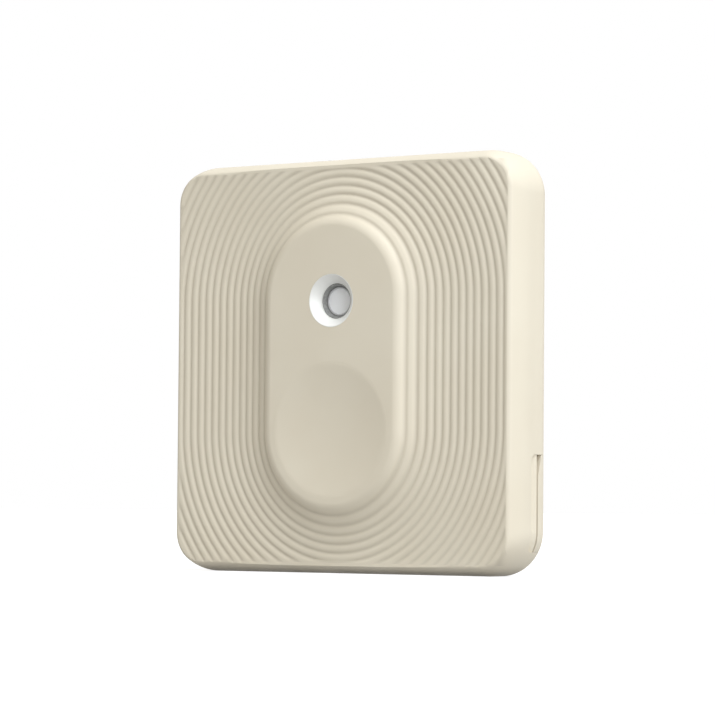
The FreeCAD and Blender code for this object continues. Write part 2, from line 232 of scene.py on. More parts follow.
world = bpy.data.worlds.new("white_room")
bpy.context.scene.world = world
world.use_nodes = True
sky = world.node_tree
fill = sky.nodes["Background"]
set_inputs(fill, {"Color": fill_colour, "Strength": fill_strength})
backdrop = add_node(sky, "ShaderNodeBackground", {"Color": white, "Strength": 1})
choice = add_node(sky, "ShaderNodeMixShader",
                  {"Fac": seen_directly(sky), 1: fill.outputs[0], 2: backdrop.outputs[0]})
set_inputs(sky.nodes["World Output"], {"Surface": choice.outputs[0]})
print("sky:", world.name)

# %% Floor
floor_width = 6.0
floor_level = cad_box[0].z
floor_colour = (0.42, 0.42, 0.42, 1)
glow_near = 0.78
glow_far = 1.0
glow_starts = 60 * mm
glow_ends = 400 * mm

bpy.ops.mesh.primitive_plane_add(size=floor_width, location=(0, 0, floor_level))
floor = bpy.context.active_object
floor.name = "floor"
floor_finish = new_finish("pale_floor", roughness=0.9, gloss=0.1)
set_shader(floor_finish, Base_Color=floor_colour)
ground = floor_finish.node_tree
far_off = add_node(ground, "ShaderNodeVectorMath", {0: place_on(floor_finish)},
                   operation="LENGTH").outputs["Value"]
level = spread(far_off, glow_near, glow_far, glow_starts, glow_ends, "SMOOTHSTEP")
glow = add_node(ground, "ShaderNodeEmission",
                {"Color": white, "Strength": maths("MULTIPLY", seen_directly(ground), level)})
both = add_node(ground, "ShaderNodeAddShader",
                {0: ground.nodes["Principled BSDF"].outputs[0], 1: glow.outputs[0]})
set_inputs(ground.nodes["Material Output"], {"Surface": both.outputs[0]})
floor.data.materials.append(floor_finish)
print("floor at", round(floor_level / mm, 2), "mm")

# %% [markdown]
# Finishes
# A flat colour looks like paint in a drawing program. Moulded plastic has a slow drift of tone, a
# fine grain from the mould and a sheen that isn't quite even. Metal has brush marks, foam has
# cells. All are made with noise that reads the place on the object in metres, so their scale is
# real: a grain of 0.12 mm is a noise of one over 0.12 mm.


# %% Helpers for finishes
def light_of(colour):
    """The light of a colour that is given as in a paint program, from 0 to 255."""
    return (*(((value / 255 + 0.055) / 1.055) ** 2.4 for value in colour), 1)


def noise_of(place, size, detail=2.0):
    """Noise whose patches are about as wide as size."""
    inputs = {"Vector": place, "Scale": 1 / size, "Detail": detail}
    return add_node(place.id_data, "ShaderNodeTexNoise", inputs).outputs[0]


def cells_of(place, size, feature, distance="EUCLIDEAN"):
    """Distance from the middle of the nearest cell, or by another feature of the cells."""
    return add_node(place.id_data, "ShaderNodeTexVoronoi", {"Vector": place, "Scale": 1 / size},
                    feature=feature, distance=distance).outputs["Distance"]


def blend_tones(amount, low, high, start=0.3, end=0.7):
    """A colour that runs from low to high as the amount rises."""
    ramp = add_node(amount.id_data, "ShaderNodeValToRGB", {"Fac": amount})
    stops = ramp.color_ramp.elements
    stops[0].position, stops[0].color = start, light_of(low)
    stops[1].position, stops[1].color = end, light_of(high)
    return ramp.outputs[0]


def mix_tones(share, first, second):
    """The first output where the share is zero and the second colour where it is one."""
    mix = add_node(share.id_data, "ShaderNodeMix", {"Factor": share}, data_type="RGBA")
    colours = {socket.name: place for place, socket in enumerate(mix.inputs)
               if socket.type == "RGBA"}
    set_inputs(mix, {colours["A"]: first, colours["B"]: light_of(second)})
    return [socket for socket in mix.outputs if socket.type == "RGBA"][0]


def relief(height, depth):
    """Small hills and dips as deep as given."""
    inputs = {"Height": height, "Distance": depth, "Strength": 1}
    return add_node(height.id_data, "ShaderNodeBump", inputs).outputs[0]


# %% Plastics
drift_size = 9 * mm
patch_size = 2.5 * mm
sheen_change = 0.05


def moulded_plastic(name, light, dark, roughness, grain, grain_depth, gloss=0.5):
    """Moulded plastic: a tone that drifts, an uneven sheen and a fine grain."""
    finish = new_finish(name, gloss=gloss)
    place = place_on(finish)
    patches = noise_of(place, patch_size)
    set_shader(finish,
               Base_Color=blend_tones(noise_of(place, drift_size, detail=3.0), dark, light),
               Roughness=spread(patches, roughness - sheen_change, roughness + sheen_change),
               Normal=relief(noise_of(place, grain, detail=3.0), grain_depth))
    print(name, "has a grain of", round(grain / mm, 2), "mm")
    return finish


cream_plastic = moulded_plastic("cream_plastic", (226, 217, 198), (222, 212, 192),
                                roughness=0.55, grain=0.12 * mm, grain_depth=0.002 * mm)
white_plastic = moulded_plastic("white_plastic", (240, 239, 235), (236, 235, 230),
                                roughness=0.32, grain=0.2 * mm, grain_depth=0.0006 * mm)
black_plastic = moulded_plastic("black_plastic", (52, 52, 54), (44, 44, 46),
                                roughness=0.5, grain=0.1 * mm, grain_depth=0.003 * mm)

# %% Metals
stain_size = 4 * mm
brush_depth = 0.001 * mm
brush_shine = 0.08
brush_dullness = 0.1


def brushed_metal(name, light, dark, roughness, mark, stretch=(1, 1, 1)):
    """Metal with faint stains and with brush marks along the axis that is stretched least."""
    finish = new_finish(name, metallic=1.0)
    marks = noise_of(place_on(finish, stretch), mark, detail=5.0)
    set_shader(finish,
               Base_Color=blend_tones(noise_of(place_on(finish), stain_size), dark, light),
               Roughness=spread(marks, roughness - brush_shine, roughness + brush_dullness),
               Normal=relief(marks, brush_depth))
    print(name, "has marks of", round(mark / mm, 2), "mm")
    return finish


cell_steel = brushed_metal("cell_steel", (214, 213, 208), (196, 195, 190),
                           roughness=0.34, mark=0.25 * mm, stretch=(0.05, 1, 1))
spring_metal = brushed_metal("spring_metal", (226, 214, 184), (208, 196, 168),
                             roughness=0.3, mark=0.2 * mm, stretch=(1, 1, 0.08))
tin = brushed_metal("tin", (205, 206, 208), (182, 183, 186),
                    roughness=0.42, mark=0.3 * mm)

# %% Foam and ceramic
foam_cell = 0.12 * mm
foam_cell_depth = 0.03 * mm

grey_foam = new_finish("grey_foam", roughness=0.95, gloss=0.1)
foam_cells = cells_of(place_on(grey_foam), foam_cell, "SMOOTH_F1")
# The pits of the cells are coloured darker than their rims: this is painted shade in the pores.
set_shader(grey_foam, Normal=relief(foam_cells, foam_cell_depth),
           Base_Color=blend_tones(foam_cells, (130, 130, 127), (158, 158, 156), start=0.1,
                                  end=0.6))
print("foam cells of", round(foam_cell / mm, 2), "mm")
brown_ceramic = moulded_plastic("brown_ceramic", (168, 138, 104), (150, 121, 90),
                                roughness=0.5, grain=0.05 * mm, grain_depth=0.001 * mm)
white_ceramic = moulded_plastic("white_ceramic", (214, 216, 220), (200, 202, 208),
                                roughness=0.45, grain=0.05 * mm, grain_depth=0.001 * mm)
led_lens = moulded_plastic("led_lens", (236, 228, 178), (228, 214, 150),
                           roughness=0.2, grain=0.1 * mm, grain_depth=0.0004 * mm, gloss=0.7)

# %% [markdown]
# The circuit board
# The board is green lacquer over copper. Its tracks run straight or slanted by half a right angle,
# which is what the borders between cells look like when distance is measured along the longer
# side of a box. The middle of each cell makes a good place for a plated hole. The hole is not cut:
# its dark middle is painted shade.

# %% Board finish
track_cell = 2.4 * mm
track_width = 0.07
hole_radius = 0.045
ring_radius = 0.085
ring_metal = 0.9
lacquer_drift = 3 * mm
track_height = 0.01 * mm

board_finish = new_finish("board_lacquer", roughness=0.35)
on_board = place_on(board_finish, (1, 0, 1))
margin = maths("SUBTRACT", cells_of(on_board, track_cell, "F2", "CHEBYCHEV"),
               cells_of(on_board, track_cell, "F1", "CHEBYCHEV"))
tracks = maths("LESS_THAN", margin, track_width)
to_hole = cells_of(on_board, track_cell, "F1")
rings = maths("LESS_THAN", to_hole, ring_radius)
# The near-black middle of each ring is painted shade that stands for the inside of an open hole.
holes = maths("LESS_THAN", to_hole, hole_radius)
lacquer = blend_tones(noise_of(on_board, lacquer_drift), (18, 74, 48), (24, 88, 58))
for share, colour in ((tracks, (44, 118, 78)), (rings, (214, 178, 104)), (holes, (30, 30, 28))):
    lacquer = mix_tones(share, lacquer, colour)
set_shader(board_finish, Base_Color=lacquer, Metallic=spread(rings, 0, ring_metal),
           Normal=relief(tracks, track_height))
print("board tracks about", round(track_width * track_cell / mm, 2), "mm wide")

# %% [markdown]
# Helpers for shaping
# An operator acts on everything that is selected, so each helper starts from an empty selection
# and picks what it needs by place. Depths are counted from the back face towards the room, as a
# toolmaker would: a depth of 6 mm lies at y = -6 mm.


# %% Selecting and opening a piece
def activate(piece):
    """Select one piece alone and make it the active one."""
    bpy.ops.object.select_all(action="DESELECT")
    piece.select_set(True)
    bpy.context.view_layer.objects.active = piece


def open_piece(piece, selection="DESELECT"):
    """Go into edit mode on one piece, with nothing in it selected unless told otherwise."""
    activate(piece)
    bpy.ops.object.mode_set(mode="EDIT")
    bpy.ops.mesh.select_mode(type="VERT")
    bpy.ops.mesh.select_all(action=selection)


def close_piece():
    """Leave edit mode."""
    bpy.ops.object.mode_set(mode="OBJECT")


def pick(kind, test):
    """Select the verts, edges or faces of the open piece that pass a test."""
    bpy.ops.mesh.select_mode(type={"verts": "VERT", "edges": "EDGE", "faces": "FACE"}[kind])
    bpy.ops.mesh.select_all(action="DESELECT")
    mesh = bmesh.from_edit_mesh(bpy.context.edit_object.data)
    for element in getattr(mesh, kind):
        if test(element):
            element.select_set(True)
    mesh.select_flush_mode()
    bmesh.update_edit_mesh(bpy.context.edit_object.data)


def use_modifier(piece, kind, **settings):
    """Add a modifier with its settings and apply it."""
    activate(piece)
    modifier = piece.modifiers.new(kind.lower(), kind)
    for name, value in settings.items():
        setattr(modifier, name, value)
    bpy.ops.object.modifier_apply(modifier=modifier.name)


def tell(piece):
    """Print how many faces a piece has and how large it is."""
    columns = zip(*(vertex.co for vertex in piece.data.vertices))
    size = [round((max(column) - min(column)) / mm, 2) for column in columns]
    print(f"{piece.name}: {len(piece.data.polygons)} faces, {size} mm")


# %% Changing what is selected
weld_distance = mm / 10000
fine_share = 1 / 1000
level_normal = 0.99


def draw_along(shift):
    """Extrude what is selected by a shift."""
    bpy.ops.mesh.extrude_region_move(TRANSFORM_OT_translate={"value": shift})


def draw_in(share):
    """Scale what is selected towards the middle of the square."""
    bpy.ops.transform.resize(value=(share, 1, share), center_override=(0, 0, 0))


def turn_round(steps, angle, x, z):
    """Spin what is selected about an axis through the face."""
    bpy.ops.mesh.spin(steps=steps, angle=angle, center=(x, 0, z), axis=(0, 1, 0))


def pick_end(sign):
    """Select the level front of the open piece, or its level back for a sign of -1."""
    pick("faces", lambda face: -sign * face.normal.y > level_normal)


def move_points(piece, test, shift):
    """Move the points of a piece that pass a test."""
    open_piece(piece)
    pick("verts", test)
    bpy.ops.transform.translate(value=shift)
    close_piece()


def bevel(piece, test, radius, segments):
    """Bevel the edges of a piece that pass a test."""
    open_piece(piece)
    pick("edges", test)
    bpy.ops.mesh.bevel(offset=radius, segments=segments, affect="EDGES")
    close_piece()


def weld(piece):
    """Merge vertices that lie on each other and turn all faces outwards."""
    open_piece(piece, "SELECT")
    bpy.ops.mesh.remove_doubles(threshold=weld_distance)
    bpy.ops.mesh.normals_make_consistent(inside=False)
    close_piece()


# %% Blocks, slabs and rods
def settle(name):
    """Name the new piece."""
    piece = bpy.context.active_object
    piece.name = name
    activate(piece)
    bpy.ops.object.transform_apply(location=True, rotation=True, scale=True)
    return piece


def block(name, x_low, x_high, back, front, z_low, z_high):
    """A box between two depths."""
    middle = ((x_low + x_high) / 2, -(back + front) / 2, (z_low + z_high) / 2)
    size = (x_high - x_low, front - back, z_high - z_low)
    bpy.ops.mesh.primitive_cube_add(size=1, location=middle, scale=size)
    return settle(name)


def rounded_slab(name, width, corner, back, front, segments=24):
    """A square slab whose four upright edges are bevelled round."""
    piece = block(name, -width / 2, width / 2, back, front, -width / 2, width / 2)
    bevel(piece, lambda edge: abs(edge.verts[0].co.y - edge.verts[1].co.y) > (front - back) / 2,
          corner, segments)
    return piece


def round_rim(piece, depth, radius, segments):
    """Bevel the outline of a piece at one depth."""
    near = radius * fine_share
    bevel(piece, lambda edge: all(abs(v.co.y + depth) < near for v in edge.verts), radius, segments)


def rod(name, radius, back, front, x=0.0, z=0.0, sides=96):
    """A round piece between two depths."""
    bpy.ops.mesh.primitive_cylinder_add(vertices=sides, radius=radius, depth=front - back,
                                        location=(x, -(back + front) / 2, z),
                                        rotation=(math.radians(90), 0, 0))
    return settle(name)


# %% Cutting and joining
def combine(piece, operation, *tools):
    """Cut, join or intersect a piece with tools, one by one, and throw them away."""
    for tool in tools:
        use_modifier(piece, "BOOLEAN", operation=operation, solver="EXACT", object=tool)
        bpy.data.objects.remove(tool)


def join_pieces(pieces):
    """Join several pieces into the first."""
    activate(pieces[0])
    for piece in pieces:
        piece.select_set(True)
    bpy.ops.object.join()
    return pieces[0]


def soften(piece, width, segments=2, angle=40):
    """Break every sharp edge of a piece by a small round."""
    use_modifier(piece, "BEVEL", width=width, segments=segments, limit_method="ANGLE",
                 angle_limit=math.radians(angle))


def smooth(piece, angle=30):
    """Shade soft bends smoothly and keep flats flat and real edges sharp."""
    activate(piece)
    bpy.ops.object.shade_smooth_by_angle(angle=math.radians(angle))
    use_modifier(piece, "WEIGHTED_NORMAL", keep_sharp=True)


# %% Drawing an outline and turning it
def shares(steps):
    """Even shares from zero to one."""
    return [step / steps for step in range(steps + 1)]


def arc(middle_radius, middle_depth, radius, start, end, steps=8):
    """Points of an arc in an outline: 0 degrees is outwards and 90 is towards the room."""
    turns = [math.radians(start + (end - start) * share) for share in shares(steps)]
    return [(middle_radius + radius * math.cos(turn), middle_depth + radius * math.sin(turn))
            for turn in turns]


def stairs(*corners):
    """Points of an outline from corner to corner, each time along the depth and then across."""
    points = [corners[0]]
    for radius, depth in corners[1:]:
        points += [(points[-1][0], depth), (radius, depth)]
    return points


def draw_outline(name, outline, x=0.0, z=0.0):
    """One vertex, extruded from point to point of an outline of radius and depth pairs."""
    points = [Vector((x + radius, -depth, z)) for radius, depth in outline]
    bpy.ops.mesh.primitive_plane_add(size=mm, location=points[0])
    piece = settle(name)
    open_piece(piece, "SELECT")
    bpy.ops.mesh.merge(type="CENTER")
    for start, end in zip(points, points[1:]):
        draw_along(end - start)
    close_piece()
    return piece


def turned_piece(name, outline, x=0.0, z=0.0, steps=96):
    """Spin an outline a full turn about an axis through the face."""
    piece = draw_outline(name, outline, x, z)
    open_piece(piece, "SELECT")
    turn_round(steps, math.tau, x, z)
    close_piece()
    weld(piece)
    return piece


def bent_strip(name, outline, width, thickness):
    """A strip of sheet that follows an outline, as wide along Z as given."""
    piece = draw_outline(name, outline, z=-width / 2)
    open_piece(piece, "SELECT")
    draw_along((0, 0, width))
    close_piece()
    use_modifier(piece, "SOLIDIFY", thickness=thickness, offset=0)
    weld(piece)
    return piece


# %% [markdown]
# The face
# The front is one moulding. A pill-shaped hill rises in the middle, its flank runs out into a very
# shallow trough, and fine grooves follow the outline of the pill like ripples, out to the rim.
# Along any line square to the outline of the pill the section is the same. So it is worked out
# once, as depth against distance, turned half round the upper end of the pill, drawn straight
# down, turned half round the lower end and drawn up again.

# %% Sizes of the housing
side = cad_box[1].x - cad_box[0].x
corner_radius = 3.8 * mm
back_edge_radius = 2.0 * mm
rim_depth = 6.0 * mm
side_curve_start = 3.7 * mm
side_curve_radius = 4.0 * mm
front_edge_round = 0.21 * mm
front_corner = 2.6 * mm
plateau_depth = -cad_box[0].y
spine_half = 5.65 * mm
pill_flat_radius = 6.15 * mm
shoulder_radius = 1.65 * mm
tight_shoulder = 1.2 * mm
flank_degrees = 34
flank_radius = 4.6 * mm
foot_degrees = 9.1
trough_radius = 16.2 * mm
field_edge = 16.8 * mm
groove_pitch = 0.764 * mm
groove_depth = 0.09 * mm
groove_extra = 0.3
groove_narrowness = 2.0
groove_steps = 8
groove_lead = 0.11 * mm
groove_stretch = 0.22 * mm
stretch_reach = 2.1 * mm
groove_fade = 0.3 * mm
end_steps = 96

side_curve_turn = math.asin((rim_depth - side_curve_start) / side_curve_radius)
front_half = side / 2 - side_curve_radius * (1 - math.cos(side_curve_turn))
flank_angle, foot_angle = math.radians(flank_degrees), math.radians(foot_degrees)
shoulder_end = pill_flat_radius + shoulder_radius * math.sin(flank_angle)
shoulder_depth = plateau_depth - shoulder_radius * (1 - math.cos(flank_angle))
flank_end = shoulder_end + flank_radius * (math.sin(flank_angle) - math.sin(foot_angle))
flank_depth = shoulder_depth - flank_radius * (math.cos(foot_angle) - math.cos(flank_angle))
trough_middle = flank_end + trough_radius * math.sin(foot_angle)
trough_depth = flank_depth - trough_radius * (1 - math.cos(foot_angle))
tight_start = pill_flat_radius + (shoulder_radius - tight_shoulder) * math.tan(flank_angle / 2)
tight_end = tight_start + tight_shoulder * math.sin(flank_angle)
groove_start = shoulder_end - groove_lead
print("pill rises", round((plateau_depth - rim_depth) / mm, 2), "mm above the rim")


# %% Section of the face
def crest_depth(distance):
    """Depth of the tops of the ribs at a distance from the spine of the pill."""
    if distance >= field_edge:
        return rim_depth
    if distance >= trough_middle:
        share = (distance - trough_middle) / (field_edge - trough_middle)
        return trough_depth + (rim_depth - trough_depth) * share ** 2
    if distance >= flank_end:
        reach = trough_middle - distance
        return trough_depth + trough_radius - math.sqrt(trough_radius ** 2 - reach ** 2)
    if distance >= shoulder_end:
        sine = math.sin(flank_angle) - (distance - shoulder_end) / flank_radius
        return shoulder_depth - flank_radius * (math.sqrt(1 - sine ** 2) - math.cos(flank_angle))
    return shoulder_depth + (shoulder_end - distance) * math.tan(flank_angle)


def ease(share):
    """A soft step from zero to one."""
    share = min(max(share, 0), 1)
    return share * share * (3 - 2 * share)


def groove(distance):
    """How far the surface dips below the tops of the ribs. The first grooves are a little wider."""
    out = distance - groove_start
    phase = math.tau * (out - groove_stretch * ease(out / stretch_reach)) / groove_pitch
    depth = groove_depth * (1 + groove_extra * (1 - ease(out / (2 * stretch_reach))))
    return depth * ((1 - math.cos(phase)) / 2) ** groove_narrowness


def face_section():
    """The outline from the middle of the pill to beyond the corner of the square."""
    outline = [(0, plateau_depth)] + arc(tight_start, plateau_depth - tight_shoulder,
                                         tight_shoulder, 90, 90 - flank_degrees)
    corner = math.hypot(side / 2, side / 2 - spine_half)
    grooves = math.ceil((corner - groove_start) / groove_pitch)
    for step in range(1, grooves * groove_steps + 1):
        distance = groove_start + groove_pitch * step / groove_steps
        outline.append((distance, crest_depth(distance) - groove(distance)))
    print(grooves, "grooves,", len(outline), "points in the section")
    return outline


# %% Turn the section round the pill
face_shell = draw_outline("face_shell", face_section(), z=spine_half)
open_piece(face_shell, "SELECT")
for end in (spine_half, -spine_half):
    turn_round(end_steps, math.pi, 0, end)
    draw_along((0, 0, -2 * end))
close_piece()
weld(face_shell)
tell(face_shell)

# %% [markdown]
# The ends of the grooves
# The grooves grow shallow just before the front edge, so that the edge stays a clean line. Each
# point of the face is lifted by the share that its place inside the square calls for, and then
# the sides are drawn back.


# %% Fade the grooves and close the block
def inside_square(x, z):
    """How far a place lies inside the line where the front edge begins to turn."""
    corner = front_corner - front_edge_round
    straight = front_half - front_corner
    right, up = abs(x) - straight, abs(z) - straight
    return corner - math.hypot(max(right, 0), max(up, 0)) - min(max(right, up), 0)


for vertex in face_shell.data.vertices:
    x, z = vertex.co.x, vertex.co.z
    distance = math.hypot(x, max(abs(z) - spine_half, 0))
    if distance > tight_end + weld_distance:
        dip = groove(distance) * ease(inside_square(x, z) / groove_fade)
        vertex.co.y = dip - crest_depth(distance)

open_piece(face_shell)
bpy.ops.mesh.select_non_manifold()
draw_along((0, rim_depth + mm, 0))
bpy.ops.mesh.edge_face_add()
close_piece()
weld(face_shell)
tell(face_shell)

# %% [markdown]
# The square outline
# Seen from the side, the wall of the housing leans in towards the face along a large arc and ends
# in a crisp edge. So the rippled block is intersected with a square block that has this outline
# already. Its arc is drawn as by hand: the front face is extruded and drawn in a little, step by
# step. Then the corners of each step are made a little tighter than those behind them. A tower on
# the block lets the pill pass.

# %% Trim the rippled block to the square
trimmer_margin = 0.01 * mm
tower_inset = 0.5 * mm
side_curve_steps = 10


def housing_block(name, front):
    """The square block with its curved sides, its crisp front edge and its soft back edge."""
    piece = rounded_slab(name, side, corner_radius, 0, side_curve_start)
    turn = math.degrees(math.asin((front - side_curve_start) / side_curve_radius))
    steps = arc(side / 2 - side_curve_radius, side_curve_start, side_curve_radius, 0, turn,
                side_curve_steps)
    open_piece(piece)
    for (half, depth), (new_half, new_depth) in zip(steps, steps[1:]):
        pick_end(1)
        draw_along((0, depth - new_depth, 0))
        draw_in(new_half / half)
    close_piece()
    for vertex in piece.data.vertices:
        rise = -vertex.co.y - side_curve_start
        if rise > weld_distance:
            inset = side_curve_radius - math.sqrt(side_curve_radius ** 2 - rise ** 2)
            half = side / 2 - inset
            wide = corner_radius * 2 * half / side
            tightening = (corner_radius - front_corner) * inset / (side / 2 - front_half)
            tight = corner_radius - tightening
            for axis in (0, 2):
                reach = (abs(vertex.co[axis]) - half + wide) * tight / wide
                vertex.co[axis] = math.copysign(half - tight + reach, vertex.co[axis])
    round_rim(piece, front, front_edge_round, segments=4)
    round_rim(piece, 0, back_edge_radius, segments=12)
    return piece


trimmer = housing_block("trimmer", rim_depth + trimmer_margin)
combine(trimmer, "UNION", rounded_slab("tower", 2 * (front_half - tower_inset),
                                       front_corner - tower_inset, rim_depth / 2,
                                       plateau_depth + mm))
combine(face_shell, "INTERSECT", trimmer)
tell(face_shell)

# %% [markdown]
# The inside of the housing
# Behind the face the housing is a thin-walled tray: a square room for the board and the cell, a
# pill-shaped room for what stands on the board, holes for the vent and the press pad, and lead-in
# grooves for the hooks of the cover. They are joined into one cutter first, which is quick because
# they are simple, and then taken out of the rippled block in a single cut.

# %% Sizes of the inside
cover_thickness = 0.8 * mm
seam_gap = 0.05 * mm
side_wall = 1.5 * mm
cavity_front = 4.9 * mm
pill_cavity_radius = 6.1 * mm
pill_cavity_front = 6.2 * mm
vent_radius = 2.3 * mm
pad_radius = 5.9 * mm
visual_gap = 0.002 * mm
skirt_gap = 0.1 * mm
skirt_height = 1.6 * mm
hook_width = 6.0 * mm
hook_reach = 0.35 * mm
hook_gap = 0.12 * mm
bezel_low, bezel_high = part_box("sensor_bezel")
board_front, board_back = (-corner.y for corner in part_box("circuit_board"))
vent_z = (bezel_low.z + bezel_high.z) / 2
pad_z = -spine_half
cavity_side = side - 2 * side_wall
cavity_corner = corner_radius - side_wall
print("the room inside is", round(cavity_side / mm, 2), "mm wide")


# %% Hollow the housing
def pill_rod(name, radius, back, front):
    """A pill-shaped rod: a round one whose upper half is moved up and whose lower half down."""
    piece = rod(name, radius, back, front, sides=128)
    for sign in (1, -1):
        move_points(piece, lambda vertex: vertex.co.z * sign > radius * fine_share,
                    (0, 0, sign * spine_half))
    return piece


def four_sides(make):
    """What make returns for each of the four sides, called with an axis name and a sign."""
    return [make(axis, sign) for axis in ("x", "z") for sign in (1, -1)]


def side_block(name, axis, sign, near, far, back, front, half_width):
    """A box that reaches from near to far out of the middle, towards one of the four sides."""
    reach = sorted((sign * near, sign * far))
    across = (-half_width, half_width)
    x_range, z_range = (reach, across) if axis == "x" else (across, reach)
    return block(name, *x_range, back, front, *z_range)


def lead_in(axis, sign):
    """Cutter for the groove that lets a hook in."""
    near = cavity_side / 2 - mm
    far = cavity_side / 2 - skirt_gap + hook_reach + hook_gap
    front = cover_thickness + skirt_height + hook_gap
    return side_block("lead_in", axis, sign, near, far, 0, front, hook_width / 2 + hook_gap)


hollow = rounded_slab("hollow", cavity_side, cavity_corner, 0, cavity_front)
combine(hollow, "UNION",
        block("air", -side, side, -mm, cover_thickness + seam_gap, -side, side),
        pill_rod("pill_room", pill_cavity_radius, board_back, pill_cavity_front),
        rod("vent_hole", vent_radius + visual_gap, board_back, plateau_depth + mm, z=vent_z),
        rod("pad_hole", pad_radius + visual_gap, board_back, plateau_depth + mm, z=pad_z,
            sides=160),
        *four_sides(lead_in))
tell(hollow)

# %% [markdown]
# The pry recess
# Low on the right-hand side a fingernail opens the cover. The wall is cut back there for the tab of
# the cover, with a fine slit in front of the tab and a small ramp that leads the nail in. The seat
# follows the rounded side at an even depth, so it is what lies between two nested square slabs,
# kept within a window.

# %% Cut the pry recess
tab_low = -15.9 * mm
tab_high = -7.75 * mm
tab_height = 1.5 * mm
tab_wall = 0.8 * mm
tab_gap = 0.02 * mm
slit_width = 0.2 * mm
ramp_height = 0.9 * mm
ramp_deep = 0.4 * mm
ramp_shallow = 0.03 * mm
ramp_corner = 0.6 * mm
tab_front = cover_thickness + tab_height
ramp_back = tab_front + slit_width
ramp_front = ramp_back + ramp_height


def slab_ring(name, width, corner, wall, back, front):
    """A square ring with rounded corners."""
    ring = rounded_slab(name, width, corner, back, front)
    combine(ring, "DIFFERENCE",
            rounded_slab("room", width - 2 * wall, corner - wall, back - mm, front + mm))
    return ring


def side_band(name, depth_in, back, front):
    """A band round the side wall, as deep as given, that also takes in the air outside."""
    return slab_ring(name, side + 2 * mm, corner_radius + mm, depth_in + mm, back, front)


def tab_window(back, front, gap=0.0):
    """A box through the right-hand side, as high as the tab with a gap at each end."""
    return block("window", 0, side, back, front, tab_low - gap, tab_high + gap)


seat = side_band("seat", tab_wall + tab_gap, -mm, ramp_back)
combine(seat, "INTERSECT", tab_window(-2 * mm, ramp_back + mm, tab_gap))

ramp = rounded_slab("ramp", side + 2 * mm, corner_radius + mm, ramp_back - slit_width / 2,
                    ramp_front)
ramp_core = rounded_slab("ramp_core", side - 2 * ramp_shallow, corner_radius - ramp_shallow,
                         ramp_back, ramp_front)
open_piece(ramp_core)
pick("verts", lambda vertex: vertex.co.y < -(ramp_back + ramp_front) / 2)
draw_in((side - 2 * ramp_deep) / (side - 2 * ramp_shallow))
for sign in (1, -1):
    pick_end(sign)
    draw_along((0, -sign * mm, 0))
close_piece()
combine(ramp, "DIFFERENCE", ramp_core)
ramp_window = tab_window(0, ramp_front, tab_gap)
bevel(ramp_window, lambda edge: (abs(edge.verts[0].co.x - edge.verts[1].co.x) > side / 2
                                 and edge.verts[0].co.y < -ramp_front / 2),
      ramp_corner, segments=8)
combine(ramp, "INTERSECT", ramp_window)
combine(hollow, "UNION", seat, ramp)
tell(hollow)

# %% [markdown]
# The pins
# Two pins stand in opposite corners behind the face. They pass through the board and through an ear
# of the cell frame, and their ends are melted into round heads that hold both down. The pins are
# taken out of the cutter, so that the one cut that hollows the housing leaves them standing.

# %% Pins
pin_radius = 0.7 * mm
pin_place = 12.4 * mm
pin_places = [(-pin_place, pin_place), (pin_place, -pin_place)]
pin_head_radius = 1.15 * mm
pin_head_height = 0.4 * mm
ear_thickness = 1.2 * mm
head_steps = 8

head_front = board_back - ear_thickness
dome = [(pin_head_radius * math.sin(math.pi / 2 * share),
         head_front - pin_head_height * math.cos(math.pi / 2 * share))
        for share in shares(head_steps)]
pin_outline = dome + stairs((pin_radius, head_front), (0, cavity_front + mm))
combine(hollow, "DIFFERENCE", *[turned_piece("pin", pin_outline, x, z, steps=32)
                                for x, z in pin_places])
combine(face_shell, "DIFFERENCE", hollow)
tell(face_shell)

# %% [markdown]
# Painted shade in the grooves
# Fine grooves catch less of the light that comes from all round, so their floors look a little
# darker than the ribs. The finish of the face paints more of that shade into the colour of the
# valley floors, working out where the grooves lie from the same formula that shaped them.

# %% Painted shade in the finish of the ribbed face
painted_valley_shade = 0.18
painted_shade_tone = (120, 106, 86)
face_back = 5.1 * mm

ribbed_plastic_with_painted_shade = cream_plastic.copy()
ribbed_plastic_with_painted_shade.name = "ribbed_cream_plastic_painted_shade"
ribbed_chart = ribbed_plastic_with_painted_shade.node_tree
plain_tone = ribbed_chart.nodes["Principled BSDF"].inputs["Base Color"].links[0].from_socket
x, y, z = add_node(ribbed_chart, "ShaderNodeSeparateXYZ",
                   {"Vector": place_on(ribbed_plastic_with_painted_shade)}).outputs
across, along = maths("ABSOLUTE", x), maths("ABSOLUTE", z)
beyond = maths("MAXIMUM", maths("SUBTRACT", along, spine_half), 0)
distance = maths("SQRT", maths("ADD", maths("MULTIPLY", x, x), maths("MULTIPLY", beyond, beyond)))
out = maths("SUBTRACT", distance, groove_start)
stretch = spread(out, 0, groove_stretch, 0, stretch_reach, "SMOOTHSTEP")
phase = maths("MULTIPLY", maths("SUBTRACT", out, stretch), math.tau / groove_pitch)
valley = maths("MULTIPLY_ADD", maths("COSINE", phase), -0.5, 0.5)
share = maths("MULTIPLY", maths("POWER", valley, groove_narrowness), painted_valley_shade)
for limit in (maths("LESS_THAN", maths("MAXIMUM", across, along), front_half - front_edge_round),
              maths("LESS_THAN", y, -face_back), maths("GREATER_THAN", out, 0)):
    share = maths("MULTIPLY", share, limit)
# The valley floors are mixed towards a dark brown: this darkening is painted shade, not a colour of
# the plastic.
set_shader(ribbed_plastic_with_painted_shade, Base_Color=mix_tones(share, plain_tone, painted_shade_tone))
print("shade in the valleys:", painted_valley_shade)


# %% Hand the housing over
def dress(piece, body, slot, finish, *nodes, flat=False):
    """Shade a piece, give it its finish and its body, and let it stand for nodes of the model."""
    if not flat:
        smooth(piece)
    piece.data.materials.clear()
    piece.data.materials.append(finish)
    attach(piece, body)
    if nodes:
        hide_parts(*nodes)
    tell(piece)


